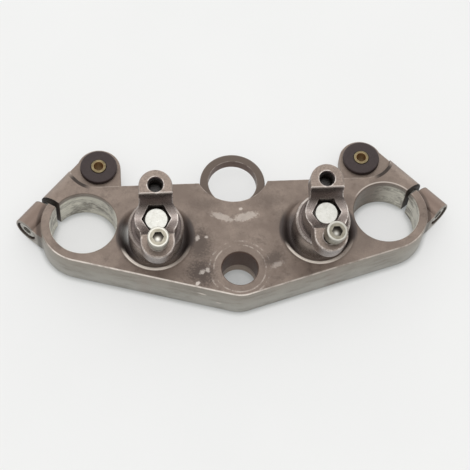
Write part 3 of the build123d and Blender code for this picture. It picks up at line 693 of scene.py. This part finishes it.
def screwShade(tree, place, look):
    # painted shade in the socket with a painted glint on its floor, and a painted highlight on the rim; the
    # right screw leans outwards
    side, forward, level = riserPlace(tree, place)
    onRight = calc(tree, "GREATER_THAN", split(tree, place)[0], 0.0)
    abovePivot = less(tree, level, earLevel - rightScrew["pivotDepth"])
    side = less(tree, side, times(tree, abovePivot, tan(radians(rightScrew["lean"])), onRight))
    forward = calc(tree, "ADD", forward, barHoleOut)
    below = less(tree, mixValue(tree, onRight, look["leftTop"], look["rightTop"]), level)
    fromAxis = away(tree, side, forward)
    socket = times(tree, fade(tree, fromAxis, *look["socket"]), fade(tree, below, *look["socketDepth"]))
    fromGlint = away(tree, less(tree, side, look["glintSide"]), less(tree, forward, look["glintFront"]))
    glint = fade(tree, fromGlint, *look["glint"])
    rim = times(tree, band(tree, fromAxis, *look["rim"]), fade(tree, below, *look["rimDepth"]),
                look["rimShare"])
    return times(tree, socket, less(tree, 1.0, glint)), most(tree, rim, times(tree, socket, glint))


def sleeveBoreLight(tree, place, look):
    # the sleeve's bore, painted lighter and warmer than the brass as painted light in the hole
    x, y = split(tree, place)[:2]
    gauge = mountPlace("right_gauge_bore")
    fromAxis = away(tree, less(tree, calc(tree, "ABSOLUTE", x), gauge.x), less(tree, y, gauge.y))
    return fade(tree, fromAxis, *look["bore"])


def makeFastenerFinish(slotName, look, skin):
    material, tree, shader, place = newMaterial(slotName)
    grain = useGroup(tree, metalGrain, {"Place": place, "Grain": look["grain"]})
    mottle = fade(tree, noise(tree, place, *skin["mottleNoise"]), *skin["mottleFade"])
    color = mixColor(tree, mottle, look["clean"], look["dull"])
    dirtAndShading = useGroup(tree, grimeAndShade, {"Place": place, "Reach": look["dirtReach"]})["Dirt"]
    if slotName == "bolt_zinc":
        dirtAndShading = most(tree, dirtAndShading, boltShade(tree, place, boltDetail))
    elif slotName == "screw_zinc":
        # painted shade in the screw's socket, with a painted glint and a painted highlight on the rim
        socket, paintedHighlight = screwShade(tree, place, screwDetail)
        dirtAndShading = most(tree, times(tree, dirtAndShading, less(tree, 1.0, paintedHighlight)), socket)
        color = mixColor(tree, paintedHighlight, color, screwDetail["paintedHighlight"])
    elif slotName == "sleeve_brass":
        dirtAndShading = most(tree, dirtAndShading, sleeveBoreLight(tree, place, sleeveDetail))
    plug(tree, mixColor(tree, dirtAndShading, color, look["dirtAndShading"]), shader["Base Color"])
    rough = calc(tree, "MULTIPLY_ADD", grain["Speck"], skin["speckRoughness"], look["roughness"])
    plug(tree, rough, shader["Roughness"])
    shader["Metallic"].default_value = look["metallic"]
    addBump(tree, shader, grain["Height"], look["bump"])
    return material


finishes = {"yoke_paint": makeYokePaint(yokePaint), "riser_finish": makeRiserFinish(riserFinish)}
for slotName, look in fastenerLooks.items():
    finishes[slotName] = makeFastenerFinish(slotName, look, fastenerSkin)
for part in frame["record"]["subparts"]:
    mesh = frame["nodes"][part["node"]].data
    mesh.materials.clear()
    mesh.materials.append(finishes[part["material_slot"]])
print("finishes made:", len(finishes))


# threads: ridges in the two empty bar holes and round the standing screws, of which the right one leans

threadLook = {
    "pitch": 1.25, "rowsPerPitch": 10, "spokes": 72, "hidden": 0.4, "mouthDepth": 4.5,
    "holeValley": 4.35, "holeCrest": 3.7, "screwValley": 3.95, "screwCrest": 4.25,
    "leftLift": 7.0, "rightLift": 4.7,
}


def makeThread(name, slotName, foot, axis, span, valley, crest, look):
    # radius over turn and height: valley to crest and back once a pitch, climbing one pitch a turn
    # and running out at both ends; the sheet closes on itself through the metal behind the valley
    turn = np.linspace(0, 2 * pi, look["spokes"], endpoint=False)
    rise = np.linspace(0, span, int(span / look["pitch"] * look["rowsPerPitch"]))[:, None]
    phase = rise / look["pitch"] - turn / (2 * pi)
    ridge = np.abs(2 * (phase % 1) - 1)
    runOut = np.clip(np.minimum(rise, span - rise) / look["pitch"], 0, 1)
    shown = valley + (crest - valley) * ridge * runOut
    behind = np.full((2, look["spokes"]), valley - np.sign(crest - valley) * look["hidden"])
    rise = rise + np.zeros_like(shown)
    if crest > valley:      # outer ridges go up, the hidden side comes down
        radius, height = np.vstack((shown, behind)), np.vstack((rise, rise[[-1, 0]]))
    else:
        radius, height = np.vstack((behind, shown[::-1])), np.vstack((rise[[0, -1]], rise[::-1]))
    side = Vector((1, 0, 0)) - axis * axis.x
    basis = np.array([side.normalized(), axis.cross(side).normalized(), axis])
    local = np.stack((radius * np.cos(turn), radius * np.sin(turn), height), axis=-1)
    points = (local.reshape(-1, 3) @ basis + np.array(foot)) / perMetre
    index = np.arange(radius.size).reshape(radius.shape)
    onward, above = np.roll(index, -1, axis=1), np.roll(index, -1, axis=0)
    faces = np.stack((index, onward, np.roll(above, -1, axis=1), above), axis=-1).reshape(-1, 4)
    mesh = bpy.data.meshes.new(name)
    mesh.from_pydata(points.tolist(), [], faces.tolist())
    mesh.polygons.foreach_set("use_smooth", np.ones(len(faces), dtype=bool))
    mesh.materials.append(finishes[slotName])
    piece = bpy.data.objects.new(name, mesh)
    bpy.context.scene.collection.objects.link(piece)
    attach(piece, "root")


def makeThreads(look):
    # threads line the front holes below their mouths, and rise round the screws in the rear holes
    mouth, pivot = look["mouthDepth"], rightScrew["pivotDepth"]
    for side in ("left", "right"):
        wall = mountSize(side + "_bar_hole", "length_mm")
        middle = mountPlace(side + "_bar_hole")
        makeThread(side + "HoleThread", "riser_finish", middle - riserUp * wall / 2, riserUp, wall,
                   look["holeValley"], look["holeCrest"], look)
        rearTop = middle + riserUp * (wall / 2 + mouth) - riserFront * 2 * barHoleOut
        lean = radians(rightScrew["lean"]) if side == "right" else 0.0
        axis = riserUp * cos(lean) + Vector((sin(lean), 0, 0))
        foot = rearTop - riserUp * pivot + axis * (pivot - mouth)
        makeThread(side + "ScrewThread", "screw_zinc", foot, axis, look[side + "Lift"] + mouth,
                   look["screwValley"], look["screwCrest"], look)


makeThreads(threadLook)
print("threads made")


# studio, in metres: pale floor with a faint shadow, partly painted into its glow, soft sky dim behind the
# camera, one wide lamp overhead

studio = {
    "floor": (0.37, 0.374, 0.37, 1), "floorSoft": (0.356, 0.36, 0.356, 1), "softNoise": (0.01, 2.0),
    "softFade": (0.2, 0.8), "floorGlow": 0.48, "floorHalf": 6.0, "floorRoughness": 0.95,
    "floorSpecular": 0.1, "clearGlow": (1, 1, 1, 1),
    "contactShadow": (0.4, 0.41, 0.4, 1), "contactReach": 0.0045, "contactFade": (0.5, 0.95),
    "holeShade": (0.4, 0.42, 0.42, 1), "holeReach": 0.02, "holeFade": (0.3, 0.5),
    "overhead": 1.0, "front": 1.8, "sides": 0.6, "rear": 0.22, "tint": (1.0, 0.995, 0.98, 1),
    "rearFade": (-0.8, -0.2), "frontFade": (0.1, 0.7), "overheadFade": (0.25, 0.8),
    "lampPlace": (-0.08, 0.0, 1.3), "lampAim": (0.0, 0.03, 0.02), "lampSize": 0.8, "lampPower": 3.2,
}


def makeFloor(look):
    # glows a little, less where the part touches it and inside narrow holes, as a painted shadow
    half = look["floorHalf"]
    corners = [(-half, -half, 0), (half, -half, 0), (half, half, 0), (-half, half, 0)]
    mesh = bpy.data.meshes.new("floor")
    mesh.from_pydata(corners, [], [(0, 1, 2, 3)])
    floor = bpy.data.objects.new("floor", mesh)
    bpy.context.scene.collection.objects.link(floor)
    material, tree, shader, place = newMaterial("paleFloor")
    soft = fade(tree, noise(tree, place, *look["softNoise"]), *look["softFade"])
    plug(tree, mixColor(tree, soft, look["floorSoft"], look["floor"]), shader["Base Color"])
    shader["Roughness"].default_value = look["floorRoughness"]
    shader["Specular IOR Level"].default_value = look["floorSpecular"]
    untouched = fade(tree, openness(tree, look["contactReach"]), *look["contactFade"])
    glow = mixColor(tree, untouched, look["contactShadow"], look["clearGlow"])
    inOpen = fade(tree, openness(tree, look["holeReach"]), *look["holeFade"])
    plug(tree, mixColor(tree, inOpen, look["holeShade"], glow), shader["Emission Color"])
    shader["Emission Strength"].default_value = look["floorGlow"]
    mesh.materials.append(material)


def makeLight(look):
    world = bpy.data.worlds.new("softSky")
    bpy.context.scene.world = world
    world.use_nodes = True
    tree = world.node_tree
    tree.nodes.clear()
    y, z = split(tree, tree.nodes.new("ShaderNodeTexCoord").outputs["Generated"])[1:]
    low = mixValue(tree, fade(tree, y, *look["rearFade"]), look["rear"], look["sides"])
    low = mixValue(tree, fade(tree, y, *look["frontFade"]), low, look["front"])
    level = mixValue(tree, fade(tree, z, *look["overheadFade"]), low, look["overhead"])
    sky = addNode(tree, "ShaderNodeBackground", {"Color": look["tint"], "Strength": level})
    plug(tree, sky.outputs[0], tree.nodes.new("ShaderNodeOutputWorld").inputs["Surface"])

    lamp = bpy.data.lights.new("wideLamp", "AREA")
    lamp.shape = "SQUARE"
    lamp.size = look["lampSize"]
    lamp.energy = look["lampPower"]
    wideLamp = bpy.data.objects.new("wideLamp", lamp)
    wideLamp.location = look["lampPlace"]
    aim = Vector(look["lampAim"]) - Vector(look["lampPlace"])
    wideLamp.rotation_euler = aim.to_track_quat("-Z", "Y").to_euler()
    bpy.context.scene.collection.objects.link(wideLamp)


makeFloor(studio)
makeLight(studio)


# camera, in metres and degrees: a long lens above the rider's side, rolled a little

cameraView = {
    "azimuth": -9.548, "elevation": 62.438, "roll": 6.3,
    "target": (0.00065, 0.03725, 0.0), "distance": 0.95542, "nearest": 0.01,
    "sensor": 36.0, "focalPixels": 1434.5, "imagePixels": 470,      # sensor in millimetres
}


def makeCamera(look):
    azimuth, elevation, roll = (radians(look[name]) for name in ("azimuth", "elevation", "roll"))
    back = Vector((sin(azimuth) * cos(elevation), -cos(azimuth) * cos(elevation), sin(elevation)))
    level = Vector((0, 0, 1)).cross(back).normalized()
    upright = back.cross(level)
    right = cos(roll) * level + sin(roll) * upright
    up = cos(roll) * upright - sin(roll) * level
    data = bpy.data.cameras.new("photoCamera")
    data.sensor_width = look["sensor"]
    data.sensor_fit = "HORIZONTAL"
    data.lens = look["sensor"] * look["focalPixels"] / look["imagePixels"]
    data.clip_start = look["nearest"]
    camera = bpy.data.objects.new("photoCamera", data)
    bpy.context.scene.collection.objects.link(camera)
    spot = Vector(look["target"]) + look["distance"] * back
    camera.matrix_world = Matrix.Translation(spot) @ Matrix((right, up, back)).transposed().to_4x4()
    bpy.context.scene.camera = camera


makeCamera(cameraView)
bpy.context.scene.view_settings.view_transform = "Standard"
print("studio and camera set")
